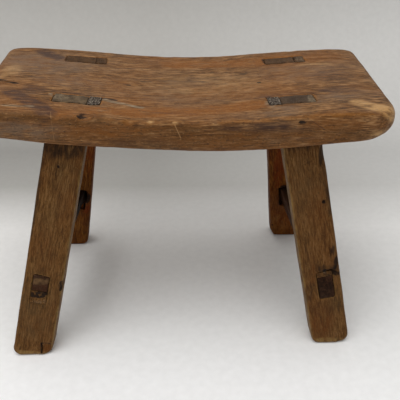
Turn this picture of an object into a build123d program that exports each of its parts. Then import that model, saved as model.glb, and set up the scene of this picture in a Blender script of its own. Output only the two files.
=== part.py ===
from build123d import *
from math import cos, dist, radians, sqrt
import os

# A rustic hardwood stool. A thick plank, curved along its length like a saddle, stands on
# four splayed legs that pass right through it. A stretcher joins each front leg to the
# rear leg behind it, and every joint is held by wood alone: wedges and pegs.
# Sizes are in millimetres. X runs along the seat, Y from front to back, Z up from the floor.

# Seat plank
seat_length = 414
seat_depth = 182
seat_middle_height = 276.5
seat_middle_thickness = 31
crest_rise = 10
underside_rise = 12
front_corner_radius = 28
rear_corner_radius = 6
seat_arris_radius = 3.5
top_curve_shares = [(0.36, 0.34), (0.60, 0.77), (0.78, 0.99), (0.92, 1.0)]
left_underside_shares = [(0.34, 0.30), (0.66, 0.66), (0.84, 1.0)]
right_underside_shares = [(0.29, 0.0), (0.66, 0.48), (0.85, 0.77)]
left_nose_shares = [(0.94, 0.13), (0.99, 0.38), (1.0, 0.62), (0.98, 0.88)]
right_nose_shares = [(0.95, 0.03), (0.985, 0.23), (0.997, 0.55), (0.98, 0.88)]
arris_angles = (0, 22.5, 45, 67.5, 90)
corner_angles = (45, 60, 75, 90)
middle_outline_shares = (-0.22, 0.22, 0.44, 0.66)

# Legs: each is a straight bar, a little wider at the foot
leg_width_at_foot = 43
leg_width_at_top = 40
leg_thickness = 24.5
leg_arris_radius = 3
foot_corner_radius = 9
shaft_into_seat = 20

# Tenons: thinner than the leg, and cut back on one side to make room for a wedge
tenon_shoulder = 6.5
tenon_cut_back = 6

# Where each tenon comes up, in from the seat's end and from its long edge, and how far
# each foot stands outwards and forwards or rearwards of its own tenon
front_tenon_from_end = 97
rear_tenon_from_end = 93
front_tenon_from_edge = 37
rear_tenon_from_edge = 30
front_left_splay_out = 64.5
front_left_splay_forwards = 57
front_right_splay_out = 62
front_right_splay_forwards = 45.5
rear_left_splay_out = 46
rear_left_splay_rearwards = 33
rear_right_splay_out = 38
rear_right_splay_rearwards = 51

# Wedges driven from above, between each tenon and the end of its mortise
leg_wedge_thickness = 10.4
leg_wedge_tip_thickness = 8.1
leg_wedge_drive = 17

# Stretchers, and the mortises that they pass through
stretcher_width = 17.5
stretcher_chamfer = 1.5
left_stretcher_depth = 22
right_stretcher_depth = 29
left_mortise_height = 84.5
right_mortise_height = 80
mortise_depth = 34
left_tenon_end_depth = 19
right_tenon_end_depth = 28
front_left_joint_shift = -2
front_right_joint_shift = 3
rear_left_joint_shift = 3.5
rear_right_joint_shift = 4
rear_mortise_play = 3.5
stretcher_wedge_drive = 17

# Pegs across the stretcher joints, whittled to eight flats
peg_flat_count = 8
peg_head_width = 7
peg_taper_angle = 1.6
peg_tip_stand = 1
left_peg_height = 90
right_peg_height = 84

# How far a cutting shape runs past what it cuts
overrun = 20

half_length = seat_length / 2
half_depth = seat_depth / 2
underside_middle = seat_middle_height - seat_middle_thickness
crest_height = seat_middle_height + crest_rise
nose_bottom = underside_middle + underside_rise
cut_height = crest_height + overrun
cut_reach = seat_length + seat_depth


def upright(y):
    """A plane across the stool that looks towards the back, at a distance y."""
    return Plane(origin=(0, y, 0), x_dir=(1, 0, 0), z_dir=(0, -1, 0))


def outline_points(end_inset=0, face_inset=0):
    """Points round the plank seen from the front, drawn in by the two insets."""
    reach = half_length - end_inset
    low = nose_bottom + face_inset
    high = crest_height - face_inset
    top = [(x * reach, seat_middle_height + z * crest_rise - face_inset)
           for x, z in top_curve_shares]
    halves = []
    for under_shares, nose_shares in ((right_underside_shares, right_nose_shares),
                                      (left_underside_shares, left_nose_shares)):
        under = [(x * reach, underside_middle + z * underside_rise + face_inset)
                 for x, z in under_shares]
        nose = [(x * reach, low + z * (high - low)) for x, z in nose_shares]
        halves.append(top + nose[::-1] + under[::-1])
    right = halves[0]
    left = [(-x, z) for x, z in halves[1][::-1]]
    middle_top = (0, seat_middle_height - face_inset)
    middle_under = (0, underside_middle + face_inset)
    return [middle_top, *right, middle_under, *left]


def lengths_round(points):
    """How far round a closed outline each of its points lies, and its whole length."""
    lengths = [0]
    for start, end in zip(points, points[1:] + points[:1]):
        lengths.append(lengths[-1] + dist(start, end))
    return lengths


def side_outline(end_inset, face_inset):
    """The plank's closed outline, its points spaced alike at every inset."""
    points = outline_points(end_inset, face_inset)
    spacing = lengths_round(outline_points())
    return Face(Wire([Edge.make_spline(points, periodic=True, parameters=spacing)]))


def round_drop(inset, radius):
    """How far a quarter round has fallen away at a distance from its edge."""
    short = max(radius - inset, 0)
    return radius - sqrt(radius**2 - short**2)


def edge_insets(corner_radius):
    """Distances from a long edge of the plank at which its outline is drawn."""
    arris = [seat_arris_radius * (1 - cos(radians(angle))) for angle in arris_angles]
    corner = [corner_radius * (1 - cos(radians(angle))) for angle in corner_angles]
    return arris + [inset for inset in corner if inset > seat_arris_radius]


def edge_outlines(back, corner_radius):
    """Outlines beside the front edge (back is -1) or the rear one, from the edge inwards."""
    outlines = []
    for inset in edge_insets(corner_radius):
        outline = side_outline(round_drop(inset, corner_radius),
                               round_drop(inset, seat_arris_radius))
        outlines.append(upright(back * (half_depth - inset)) * outline)
    return outlines


def make_seat_plank():
    """The bare plank: side outlines lofted from front to back, smaller towards each edge."""
    front = edge_outlines(-1, front_corner_radius)
    middle = [upright(share * half_depth) * side_outline(0, 0)
              for share in middle_outline_shares]
    rear = edge_outlines(1, rear_corner_radius)[::-1]
    return loft([*front, *middle, *rear], ruled=True)


def plate(plane, points, thickness):
    """A flat-sided shape drawn on a plane and thickened evenly to both sides of it."""
    drawn = make_face(Polyline(*points, close=True))
    return extrude(plane.offset(-thickness / 2) * drawn, amount=thickness)


class Leg:
    """Where one leg stands, and the simple shapes that its joints are cut from."""

    def __init__(self, out, back, from_end, from_edge, splay_out, splay_back, peg_height,
                 joint_shift, wedge_side):
        self.out = out
        self.wedge_side = wedge_side
        self.peg_height = peg_height
        self.joint_shift = joint_shift
        self.tenon_set_back = tenon_shoulder / 2 if back < 0 else 0
        self.top = Vector(out * (half_length - from_end), back * (half_depth - from_edge),
                          seat_middle_height)
        self.foot = Vector(self.top.X + out * splay_out, self.top.Y + back * splay_back, 0)
        self.axis = (self.top - self.foot).normalized()
        across = Vector(1, 0, 0) - self.axis * self.axis.X
        self.plane = Plane(origin=self.foot, x_dir=across, z_dir=self.axis)

    def centre_at(self, height):
        """The middle of the leg at a height above the floor."""
        return self.foot + self.axis * (height / self.axis.Z)

    def width_at(self, height):
        """The leg's width at a height above the floor."""
        share = height / seat_middle_height
        return leg_width_at_foot + (leg_width_at_top - leg_width_at_foot) * share

    def face_plane(self, origin):
        """A plane through the leg, along its broad faces, that looks towards the front."""
        return Plane(origin=origin, x_dir=self.plane.x_dir,
                     z_dir=self.plane.x_dir.cross(self.axis))

    def outline(self, cut_back=0):
        """The leg's corners, past the floor and past the seat, cut back on the wedge's side."""
        corners = []
        for side, height in ((-1, -overrun), (1, -overrun), (1, cut_height), (-1, cut_height)):
            edge = self.width_at(height) / 2 - (cut_back if side == self.wedge_side else 0)
            corners.append((side * edge, height / self.axis.Z))
        return corners

    def bar(self):
        """The leg's square bar, run past the floor and past the seat's top."""
        return plate(self.face_plane(self.foot), self.outline(), leg_thickness)

    def tenon_plate(self, origin, points):
        """A shape as thick as the tenon, which has its shoulder in front on a front leg."""
        middle = self.face_plane(origin).offset(-self.tenon_set_back)
        return plate(middle, points, leg_thickness - tenon_shoulder)

    def tenon(self):
        """The tenon, run as far as the bar."""
        return self.tenon_plate(self.foot, self.outline(tenon_cut_back))


def make_leg_blank(leg, plank):
    """A leg before its mortise: a rounded shaft with a square tenon, flush with the seat."""
    shaft_top = underside_middle + shaft_into_seat
    room = Pos(0, 0, shaft_top / 2) * Box(cut_reach, cut_reach, shaft_top)
    shaft = leg.bar() & room
    foot = shaft.faces().sort_by(Axis.Z)[0]
    foot_sides = foot.edges().sort_by(Axis.X)
    shaft = fillet([foot_sides[0], foot_sides[-1]], foot_corner_radius)
    broad_faces = shaft.faces().sort_by(Axis.Y)
    outlines = broad_faces[0].edges() + broad_faces[-1].edges()
    rims = [edge for edge in outlines if edge.center().Z < underside_middle]
    shaft = fillet(rims, leg_arris_radius)
    return (shaft - plank) + (leg.tenon() & plank)


def leg_wedge_room(leg):
    """The room for a slip that thins downwards, from mid-tenon out to the seat's wall."""
    slope = (leg_wedge_thickness - leg_wedge_tip_thickness) / leg_wedge_drive
    tenon_edge = leg_width_at_top / 2 - tenon_cut_back
    tip = leg.wedge_side * (tenon_edge + leg_wedge_tip_thickness)
    head = leg.wedge_side * (tenon_edge + leg_wedge_thickness + slope * overrun)
    points = [(0, -leg_wedge_drive), (tip, -leg_wedge_drive), (head, overrun), (0, overrun)]
    return leg.tenon_plate(leg.top, points)


class Stretcher:
    """A level bar between a front and a rear leg, and the shapes of its joints."""

    def __init__(self, front, rear, mortise_height, depth, tenon_end_depth, wedge_side):
        self.legs = (front, rear)
        self.depth = depth
        self.tenon_end_depth = tenon_end_depth
        self.wedge_side = wedge_side
        self.bar_rise = -wedge_side * (mortise_depth - depth) / 2
        self.ends = [leg.centre_at(mortise_height) + Vector(leg.joint_shift, 0, 0)
                     for leg in self.legs]
        self.forward = (self.ends[0] - self.ends[1]).normalized()
        self.across = front.axis.cross(self.forward).normalized()
        self.up = self.forward.cross(self.across)

    def section_plane(self, origin):
        """A plane square to the bar, turned to lie along the edges of the front leg."""
        return Plane(origin=origin, x_dir=self.across, z_dir=self.forward)

    def bar(self, section, extra=0):
        """A bar from the middle of one leg to the middle of the other, or past them."""
        start = self.section_plane(self.ends[1] - self.forward * extra)
        length = (self.ends[0] - self.ends[1]).length + 2 * extra
        return extrude(start * Pos(0, self.bar_rise) * section, amount=length)

    def mortise(self, end):
        """The hole through one leg, with play on the inner side in the rear legs."""
        play = rear_mortise_play if end == 1 else 0
        inwards = -self.legs[end].out
        start = self.section_plane(self.ends[end] - self.forward * overrun)
        hole = Pos(inwards * play / 2, 0) * Rectangle(stretcher_width + play, mortise_depth)
        return extrude(start * hole, amount=2 * overrun)

    def wedge_blank(self, end, width):
        """A wedge above or below a tenon, thick at the outer face of the leg."""
        leg = self.legs[end]
        outwards = self.forward if end == 0 else -self.forward
        drawing = Plane(origin=self.ends[end], x_dir=outwards,
                        z_dir=outwards.cross(self.up))
        face = leg_thickness / 2 / abs(leg.plane.y_dir.dot(self.forward))
        wall = self.wedge_side * mortise_depth / 2
        inner = self.wedge_side * (self.depth - mortise_depth / 2)
        outer = self.wedge_side * (self.tenon_end_depth - mortise_depth / 2)
        slope = (outer - inner) / stretcher_wedge_drive
        points = [(face - stretcher_wedge_drive, wall), (face + overrun, wall),
                  (face + overrun, outer + slope * overrun),
                  (face - stretcher_wedge_drive, inner)]
        return plate(drawing, points, width)


def make_peg(leg):
    """A whittled peg from the inner edge of a leg to just past its outer edge."""
    width = leg.width_at(leg.peg_height)
    outwards = leg.plane.x_dir * leg.out
    head = Plane(origin=leg.centre_at(leg.peg_height) - outwards * (width / 2),
                 x_dir=leg.axis, z_dir=outwards)
    section = head * RegularPolygon(peg_head_width / 2, peg_flat_count, major_radius=False)
    return extrude(section, amount=width + peg_tip_stand, taper=peg_taper_angle)


def make_nodes():
    """Every piece of the stool, by the name of its file."""
    nodes = {}
    plank = make_seat_plank()
    seat = plank
    for name, leg in LEGS.items():
        wedge_room = leg_wedge_room(leg)
        seat = seat - leg.tenon() - wedge_room
        nodes[name + "_leg"] = make_leg_blank(leg, plank)
        nodes[name + "_leg_wedge"] = (wedge_room & plank) - leg.tenon()
        nodes[name + "_peg"] = make_peg(leg)
    nodes["seat_plank"] = seat
    for side_name, stretcher in STRETCHERS.items():
        section = Rectangle(stretcher_width, stretcher.depth)
        tenons = stretcher.bar(section, extra=overrun)
        middle = stretcher.bar(chamfer(section.vertices(), stretcher_chamfer))
        for end, end_name in enumerate(("front", "rear")):
            name = f"{end_name}_{side_name}"
            leg = stretcher.legs[end]
            peg = nodes[name + "_peg"]
            nodes[name + "_leg"] = nodes[name + "_leg"] - stretcher.mortise(end) - peg
            wedge = stretcher.wedge_blank(end, stretcher_width) & leg.bar()
            nodes[name + "_stretcher_wedge"] = wedge
            middle = middle - leg.bar()
            clear = stretcher.wedge_blank(end, 2 * stretcher_width)
            tenon = (tenons & leg.bar()) - clear - peg
            nodes.setdefault(side_name + "_tenons", []).append(tenon)
        front_tenon, rear_tenon = nodes.pop(side_name + "_tenons")
        nodes[side_name + "_stretcher"] = middle + front_tenon + rear_tenon
    return nodes


LEGS = {
    "front_left": Leg(-1, -1, front_tenon_from_end, front_tenon_from_edge,
                      front_left_splay_out, front_left_splay_forwards,
                      left_peg_height, front_left_joint_shift, wedge_side=1),
    "front_right": Leg(1, -1, front_tenon_from_end, front_tenon_from_edge,
                       front_right_splay_out, front_right_splay_forwards,
                       right_peg_height, front_right_joint_shift, wedge_side=-1),
    "rear_left": Leg(-1, 1, rear_tenon_from_end, rear_tenon_from_edge,
                     rear_left_splay_out, rear_left_splay_rearwards,
                     left_peg_height, rear_left_joint_shift, wedge_side=1),
    "rear_right": Leg(1, 1, rear_tenon_from_end, rear_tenon_from_edge,
                      rear_right_splay_out, rear_right_splay_rearwards,
                      right_peg_height, rear_right_joint_shift, wedge_side=1),
}
STRETCHERS = {
    "left": Stretcher(LEGS["front_left"], LEGS["rear_left"], left_mortise_height,
                      left_stretcher_depth, left_tenon_end_depth, wedge_side=-1),
    "right": Stretcher(LEGS["front_right"], LEGS["rear_right"], right_mortise_height,
                       right_stretcher_depth, right_tenon_end_depth, wedge_side=1),
}

os.makedirs("parts", exist_ok=True)
pieces = make_nodes()
boxes = [piece.bounding_box() for piece in pieces.values()]
middle_x = (min(box.min.X for box in boxes) + max(box.max.X for box in boxes)) / 2
middle_y = (min(box.min.Y for box in boxes) + max(box.max.Y for box in boxes)) / 2
for name, piece in pieces.items():
    export_step(Pos(-middle_x, -middle_y) * piece, f"parts/{name}.step")
print("moved by", round(-middle_x, 3), round(-middle_y, 3), "to centre the stool")
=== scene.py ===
# %% [markdown]
# # A stool carved like a saddle
#
# The real object is a low stool of old hardwood. A thick plank, hollowed along its length,
# stands on four splayed legs that come right up through it. Nothing but wood holds it: wedges
# beside the tenons, a stretcher through each pair of legs, and pegs across the stretchers.
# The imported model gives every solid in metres, so this script only has to dress them.

from math import cos, radians, sin

import bmesh
import bpy
import numpy as np
from mathutils import Matrix, Vector
from mathutils.bvhtree import BVHTree


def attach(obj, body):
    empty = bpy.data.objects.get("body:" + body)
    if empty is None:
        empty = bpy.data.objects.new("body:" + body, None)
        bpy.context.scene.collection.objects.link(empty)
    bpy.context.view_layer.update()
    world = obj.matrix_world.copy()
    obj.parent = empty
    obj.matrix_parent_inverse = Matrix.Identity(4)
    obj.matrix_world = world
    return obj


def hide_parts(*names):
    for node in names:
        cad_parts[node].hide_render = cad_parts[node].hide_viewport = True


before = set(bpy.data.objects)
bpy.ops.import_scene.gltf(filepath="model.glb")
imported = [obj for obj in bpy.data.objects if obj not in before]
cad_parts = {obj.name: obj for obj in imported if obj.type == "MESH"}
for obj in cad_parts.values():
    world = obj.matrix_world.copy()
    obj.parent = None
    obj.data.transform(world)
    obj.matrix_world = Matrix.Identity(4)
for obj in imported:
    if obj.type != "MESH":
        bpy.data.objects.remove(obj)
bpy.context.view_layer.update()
MM = 0.001

# %% [markdown]
# ## Three small helpers
#
# Colours are easiest to choose as the hex values of a paint program, but light adds up
# correctly only in linear values, so one function turns the first into the second. Node trees
# are easiest to read when each node is one line with its inputs, so another adds a node, sets
# it up and links it. The third gives a colour ramp its stops from a list.

# %% Colour and node helpers
SRGB_STEP = 0.04045
SRGB_TOE = 12.92
SRGB_LIFT = 0.055
SRGB_POWER = 2.4


def to_linear(hex_colour):
    """Turns an sRGB hex colour into linear red, green, blue and a full alpha."""
    values = []
    for start in (0, 2, 4):
        value = int(hex_colour[start:start + 2], 16) / 255
        if value <= SRGB_STEP:
            values.append(value / SRGB_TOE)
        else:
            values.append(((value + SRGB_LIFT) / (1 + SRGB_LIFT)) ** SRGB_POWER)
    return (*values, 1)


def add_node(tree, kind, inputs=None, **settings):
    """Adds a node with its settings, and sets or links its inputs by name or by number."""
    node = tree.nodes.new(kind)
    for name, value in settings.items():
        setattr(node, name, value)
    for name, value in (inputs or {}).items():
        if isinstance(value, bpy.types.NodeSocket):
            tree.links.new(value, node.inputs[name])
        else:
            node.inputs[name].default_value = value
    return node


def set_stops(ramp, stops):
    """Gives a colour ramp its stops, from positions and linear colours in their order."""
    elements = ramp.color_ramp.elements
    for element, (position, colour) in zip(elements, (stops[0], stops[-1])):
        element.position = position
        element.color = colour
    for position, colour in stops[1:-1]:
        elements.new(position).color = colour


print("half grey is", round(to_linear("808080")[0], 3), "in linear light")

# %% [markdown]
# ## The camera
#
# The photograph was taken by hand from above the seat, looking down at about 34 degrees. The
# camera's place and its turn were found by fitting the edges of the solids to the picture, so
# they are kept as real distances and as angles in radians. The focal length is given in pixels
# of the square frame.

# %% Place the camera
CAMERA_PLACE = Vector((-6.8, -573.0, 510.5)) * MM
CAMERA_YAW = 0.046
CAMERA_PITCH = 0.586
CAMERA_ROLL = 0.020
SENSOR_WIDTH = 36
FRAME_PIXELS = 400
FOCAL_PIXELS = 570

forward = Vector((sin(CAMERA_YAW) * cos(CAMERA_PITCH), cos(CAMERA_YAW) * cos(CAMERA_PITCH),
                  -sin(CAMERA_PITCH)))
level = Vector((cos(CAMERA_YAW), -sin(CAMERA_YAW), 0))
upward = level.cross(forward)
right = level * cos(CAMERA_ROLL) + upward * sin(CAMERA_ROLL)
camera = bpy.data.objects.new("camera", bpy.data.cameras.new("camera"))
camera.data.sensor_width = SENSOR_WIDTH
camera.data.lens = SENSOR_WIDTH * FOCAL_PIXELS / FRAME_PIXELS
turn = Matrix((right, right.cross(forward), -forward)).transposed()
camera.matrix_world = Matrix.LocRotScale(CAMERA_PLACE, turn.to_quaternion(), None)
bpy.context.scene.collection.objects.link(camera)
bpy.context.scene.camera = camera
print("lens", round(camera.data.lens, 1), "mm")

# %% [markdown]
# ## The paper sheet
#
# A sheet of pale paper lies under the stool and curves up behind it, so that there is no
# corner to see. It could be a bent plane with many squares, but only its bend needs more than
# one, so it is drawn as a line from front to back that is made wide on both sides.

# %% Sweep the paper backdrop
FLOOR_FRONT = -1.6
FLOOR_BACK = 0.42
BACKDROP_BEND = 0.22
BACKDROP_TOP = 1.7
BACKDROP_HALF_WIDTH = 2.2
BEND_STEPS = 16


def backdrop_profile():
    """The paper's line from front to back as pairs of depth and height."""
    line = [(FLOOR_FRONT, 0)]
    for step in range(BEND_STEPS + 1):
        angle = radians(90 * step / BEND_STEPS)
        line.append((FLOOR_BACK + BACKDROP_BEND * sin(angle), BACKDROP_BEND * (1 - cos(angle))))
    return line + [(FLOOR_BACK + BACKDROP_BEND, BACKDROP_TOP)]


def make_backdrop():
    """A smooth sheet of paper that reaches equally far to both sides."""
    profile = backdrop_profile()
    points = [(side, y, z) for y, z in profile
              for side in (-BACKDROP_HALF_WIDTH, BACKDROP_HALF_WIDTH)]
    faces = [(2 * n, 2 * n + 1, 2 * n + 3, 2 * n + 2) for n in range(len(profile) - 1)]
    mesh = bpy.data.meshes.new("paper_backdrop")
    mesh.from_pydata(points, [], faces)
    mesh.polygons.foreach_set("use_smooth", [True] * len(faces))
    backdrop = bpy.data.objects.new("paper_backdrop", mesh)
    bpy.context.scene.collection.objects.link(backdrop)
    return backdrop


backdrop = make_backdrop()
print("the paper has", len(backdrop.data.polygons), "faces")

# %% [markdown]
# ## Matt uncoated paper
#
# Uncoated paper is pressed from wood fibre and has no gloss at all, so the eye sees only its
# tone. That is white near the camera, greyer behind the stool as painted shade where less
# light arrives, and paler again to the right as painted light. A ramp from front to back holds
# these tones, and a faint noise keeps the sheet from being flat. The paper's back is clear, so
# that the stool can be looked at from behind and from below as well.

# %% Colour the paper
PAPER_WHITE = "fbfbfa"
PAPER_GREY = "6e6c69"
# painted shade: the grey tones behind the stool; painted light: the mix towards white on the right
PAPER_TONES_WITH_PAINTED_SHADE = [(-0.30, "f9f9f9"), (-0.16, "f8f8f8"), (-0.08, "f2f2f1"), (0.12, "e8e7e5"),
               (0.24, "a9a7a3"), (0.36, "9a9894"), (0.48, "adaba7"), (0.62, "c4c2be")]
PAINTED_LIGHT_FROM = -0.05
PAINTED_LIGHT_TO = 0.45
PAINTED_LIGHT_SHARE = 0.4
PAPER_FIBRE = 9 * MM
FIBRE_DETAIL = 4
FIBRE_LOW = 0.3
FIBRE_HIGH = 0.7
FIBRE_SHARE = 0.06


def paper_tone_with_painted_light(tree, place):
    """The paper's colour: painted shade that greys it backwards, painted light that pales it
    sideways, and its faint fibre.
    """
    axes = add_node(tree, "ShaderNodeSeparateXYZ", {0: place})
    nearest, farthest = PAPER_TONES_WITH_PAINTED_SHADE[0][0], PAPER_TONES_WITH_PAINTED_SHADE[-1][0]
    backwards = add_node(tree, "ShaderNodeMapRange", {
        "Value": axes.outputs["Y"], "From Min": nearest, "From Max": farthest})
    ramp = add_node(tree, "ShaderNodeValToRGB", {"Fac": backwards.outputs[0]})
    set_stops(ramp, [((depth - nearest) / (farthest - nearest), to_linear(tone))
                     for depth, tone in PAPER_TONES_WITH_PAINTED_SHADE])
    sideways = add_node(tree, "ShaderNodeMapRange", {
        "Value": axes.outputs["X"], "From Min": PAINTED_LIGHT_FROM, "From Max": PAINTED_LIGHT_TO,
        "To Max": PAINTED_LIGHT_SHARE})
    painted_light = add_node(tree, "ShaderNodeMix", {
        0: sideways.outputs[0], 6: ramp.outputs["Color"], 7: to_linear(PAPER_WHITE)},
        data_type="RGBA")
    fibre = add_node(tree, "ShaderNodeTexNoise", {
        "Vector": place, "Scale": 1 / PAPER_FIBRE, "Detail": FIBRE_DETAIL})
    faint = add_node(tree, "ShaderNodeMapRange", {
        "Value": fibre.outputs[0], "From Min": FIBRE_LOW, "From Max": FIBRE_HIGH,
        "To Max": FIBRE_SHARE})
    return add_node(tree, "ShaderNodeMix", {
        0: faint.outputs[0], 6: painted_light.outputs[2], 7: to_linear(PAPER_GREY)},
        data_type="RGBA").outputs[2]


def matt_uncoated_paper():
    """Paper without gloss that is seen from its front alone."""
    material = bpy.data.materials.new("matt_uncoated_paper")
    material.use_nodes = True
    tree = material.node_tree
    shader = tree.nodes["Principled BSDF"]
    place = add_node(tree, "ShaderNodeTexCoord").outputs["Object"]
    tree.links.new(paper_tone_with_painted_light(tree, place), shader.inputs["Base Color"])
    shader.inputs["Roughness"].default_value = 1
    shader.inputs["Specular IOR Level"].default_value = 0
    behind = add_node(tree, "ShaderNodeNewGeometry").outputs["Backfacing"]
    clear = add_node(tree, "ShaderNodeBsdfTransparent")
    one_sided = add_node(tree, "ShaderNodeMixShader", {
        0: behind, 1: shader.outputs[0], 2: clear.outputs[0]})
    tree.links.new(one_sided.outputs[0], tree.nodes["Material Output"].inputs["Surface"])
    return material


backdrop.data.materials.append(matt_uncoated_paper())
print("the paper's material is", backdrop.data.materials[0].name)

# %% [markdown]
# ## The light
#
# The photograph has the soft light of a room: a wide source overhead and to the front, so the
# top of the seat is the brightest wood and every shadow is blurred. Two large area lamps do
# that, and a pale world fills the rest.

# %% Hang the lamps
LAMPS = {
    "ceiling_panel": {"place": (-0.32, -0.35, 1.9), "size": 1.6, "power": 25, "aim": (0, 0, 0.2)},
    "window": {"place": (-1.3, -1.5, 1.3), "size": 1.2, "power": 4, "aim": (0, 0, 0.15)},
}
WORLD_COLOUR = "e6e5e3"
WORLD_STRENGTH = 0.5

for name, lamp in LAMPS.items():
    light = bpy.data.lights.new(name, "AREA")
    light.size = lamp["size"]
    light.energy = lamp["power"]
    holder = bpy.data.objects.new(name, light)
    holder.location = lamp["place"]
    aim = Vector(lamp["aim"]) - holder.location
    holder.rotation_euler = aim.to_track_quat("-Z", "Y").to_euler()
    bpy.context.scene.collection.objects.link(holder)

world = bpy.data.worlds.new("pale_room")
world.use_nodes = True
world.node_tree.nodes["Background"].inputs["Color"].default_value = to_linear(WORLD_COLOUR)
world.node_tree.nodes["Background"].inputs["Strength"].default_value = WORLD_STRENGTH
bpy.context.scene.world = world
bpy.context.scene.view_settings.view_transform = "Standard"
print(len(LAMPS), "lamps of", [lamp["power"] for lamp in LAMPS.values()], "watts")

# %% [markdown]
# ## Which way the grain runs
#
# Every piece was split or sawn along its grain, so each has one long direction that its
# texture, its ripples and its cracks all follow. For the seat that is the X axis. A leg's is
# the line from the middle of its foot to the middle of its tenon, and a stretcher's is the
# line between the middles of its two ends.

# %% Find the grain of each piece
LEG_NAMES = ["front_left", "front_right", "rear_left", "rear_right"]
END_SLICE = 8 * MM


def points_of(node):
    """The corners of a solid's triangles, one row each."""
    return np.array([corner.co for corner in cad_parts[node].data.vertices])


def long_direction(node, axis):
    """From the middle of a solid's low end to the middle of its high end, along an axis."""
    points = points_of(node)
    ends = []
    for limit in (points[:, axis].min(), points[:, axis].max()):
        near = points[abs(points[:, axis] - limit) < END_SLICE]
        ends.append((near.min(0) + near.max(0)) / 2)
    return Vector(ends[1] - ends[0]).normalized()


grain = {"seat_plank": Vector((1, 0, 0))}
for name in LEG_NAMES:
    grain[name + "_leg"] = long_direction(name + "_leg", 2)
for name in ("left", "right"):
    grain[name + "_stretcher"] = long_direction(name + "_stretcher", 1)
for name, direction in grain.items():
    print("grain of", name, [round(part, 2) for part in direction])

# %% [markdown]
# ## A surface worn by hands
#
# A solid has exact faces, but this stool was hewn and scraped by hand and then sat on for a
# lifetime. Sculpting that by hand would give another result each time, but a Geometry Nodes
# tree can say it as a rule. It blurs the surface where a patchy noise says so, which rubs the
# edges down unevenly, then it lifts and sinks the surface in slow waves left by the blade and
# in fine ripples along the grain. It also keeps how sharp each spot was, so that the finish
# can make the edges pale, as wear and as a painted highlight, and dark in the hollows. Two
# helpers come first: a noise that swings about zero, and places that are squeezed along the
# grain.

# %% Noise and grain helpers
def centred_noise(tree, place, scale, detail, height):
    """A noise that swings evenly about zero, as far each way as the height."""
    noise = add_node(tree, "ShaderNodeTexNoise", {"Vector": place, "Scale": scale,
                                                  "Detail": detail})
    centred = add_node(tree, "ShaderNodeMath", {0: noise.outputs[0], 1: 0.5},
                       operation="SUBTRACT")
    return add_node(tree, "ShaderNodeMath", {0: centred.outputs[0], 1: height},
                    operation="MULTIPLY").outputs[0]


def squeezed_along(tree, place, direction, squeeze):
    """Places squeezed along a direction, which draws any pattern out that way."""
    along = add_node(tree, "ShaderNodeVectorMath", {0: place, 1: direction},
                     operation="DOT_PRODUCT")
    taken = add_node(tree, "ShaderNodeMath", {0: along.outputs["Value"], 1: 1 - squeeze},
                     operation="MULTIPLY")
    shift = add_node(tree, "ShaderNodeVectorMath", {0: direction, "Scale": taken.outputs[0]},
                     operation="SCALE")
    return add_node(tree, "ShaderNodeVectorMath", {0: place, 1: shift.outputs[0]},
                    operation="SUBTRACT").outputs[0]


# %% Build the hand-worn surface tree
BLUR_STEPS = 8
WEAR_PATCH = 26 * MM
WEAR_LOW = 0.35
WEAR_HIGH = 0.65
WAVE_LENGTH = 38 * MM
WAVE_DETAIL = 1
RIPPLE_WIDTH = 3.2 * MM
RIPPLE_DETAIL = 2
RIPPLE_SQUEEZE = 0.06
EDGE_SHARPNESS = 0.35 * MM
SURFACE_INPUTS = {
    "Geometry": "NodeSocketGeometry", "Grain": "NodeSocketVector",
    "Seed Shift": "NodeSocketVector", "Wave Height": "NodeSocketFloat",
    "Ripple Height": "NodeSocketFloat", "Edge Wear": "NodeSocketFloat",
    "Finish": "NodeSocketMaterial",
}


def rubbed_back(tree, inward, seeded, wear):
    """How far each spot is rubbed back, more in some patches than in others."""
    patch = add_node(tree, "ShaderNodeTexNoise", {"Vector": seeded, "Scale": 1 / WEAR_PATCH})
    worn = add_node(tree, "ShaderNodeMapRange", {
        "Value": patch.outputs[0], "From Min": WEAR_LOW, "From Max": WEAR_HIGH})
    rub = add_node(tree, "ShaderNodeMath", {0: worn.outputs[0], 1: wear}, operation="MULTIPLY")
    return add_node(tree, "ShaderNodeVectorMath", {0: inward, "Scale": rub.outputs[0]},
                    operation="SCALE").outputs[0]


def hewn_and_rippled(tree, normal, seeded, given):
    """How far the blade's waves and the ripples of the grain lift or sink each spot."""
    waves = centred_noise(tree, seeded, 1 / WAVE_LENGTH, WAVE_DETAIL, given["Wave Height"])
    fibre = squeezed_along(tree, seeded, given["Grain"], RIPPLE_SQUEEZE)
    ripples = centred_noise(tree, fibre, 1 / RIPPLE_WIDTH, RIPPLE_DETAIL,
                            given["Ripple Height"])
    lift = add_node(tree, "ShaderNodeMath", {0: waves, 1: ripples}, operation="ADD")
    return add_node(tree, "ShaderNodeVectorMath", {0: normal, "Scale": lift.outputs[0]},
                    operation="SCALE").outputs[0]


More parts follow.
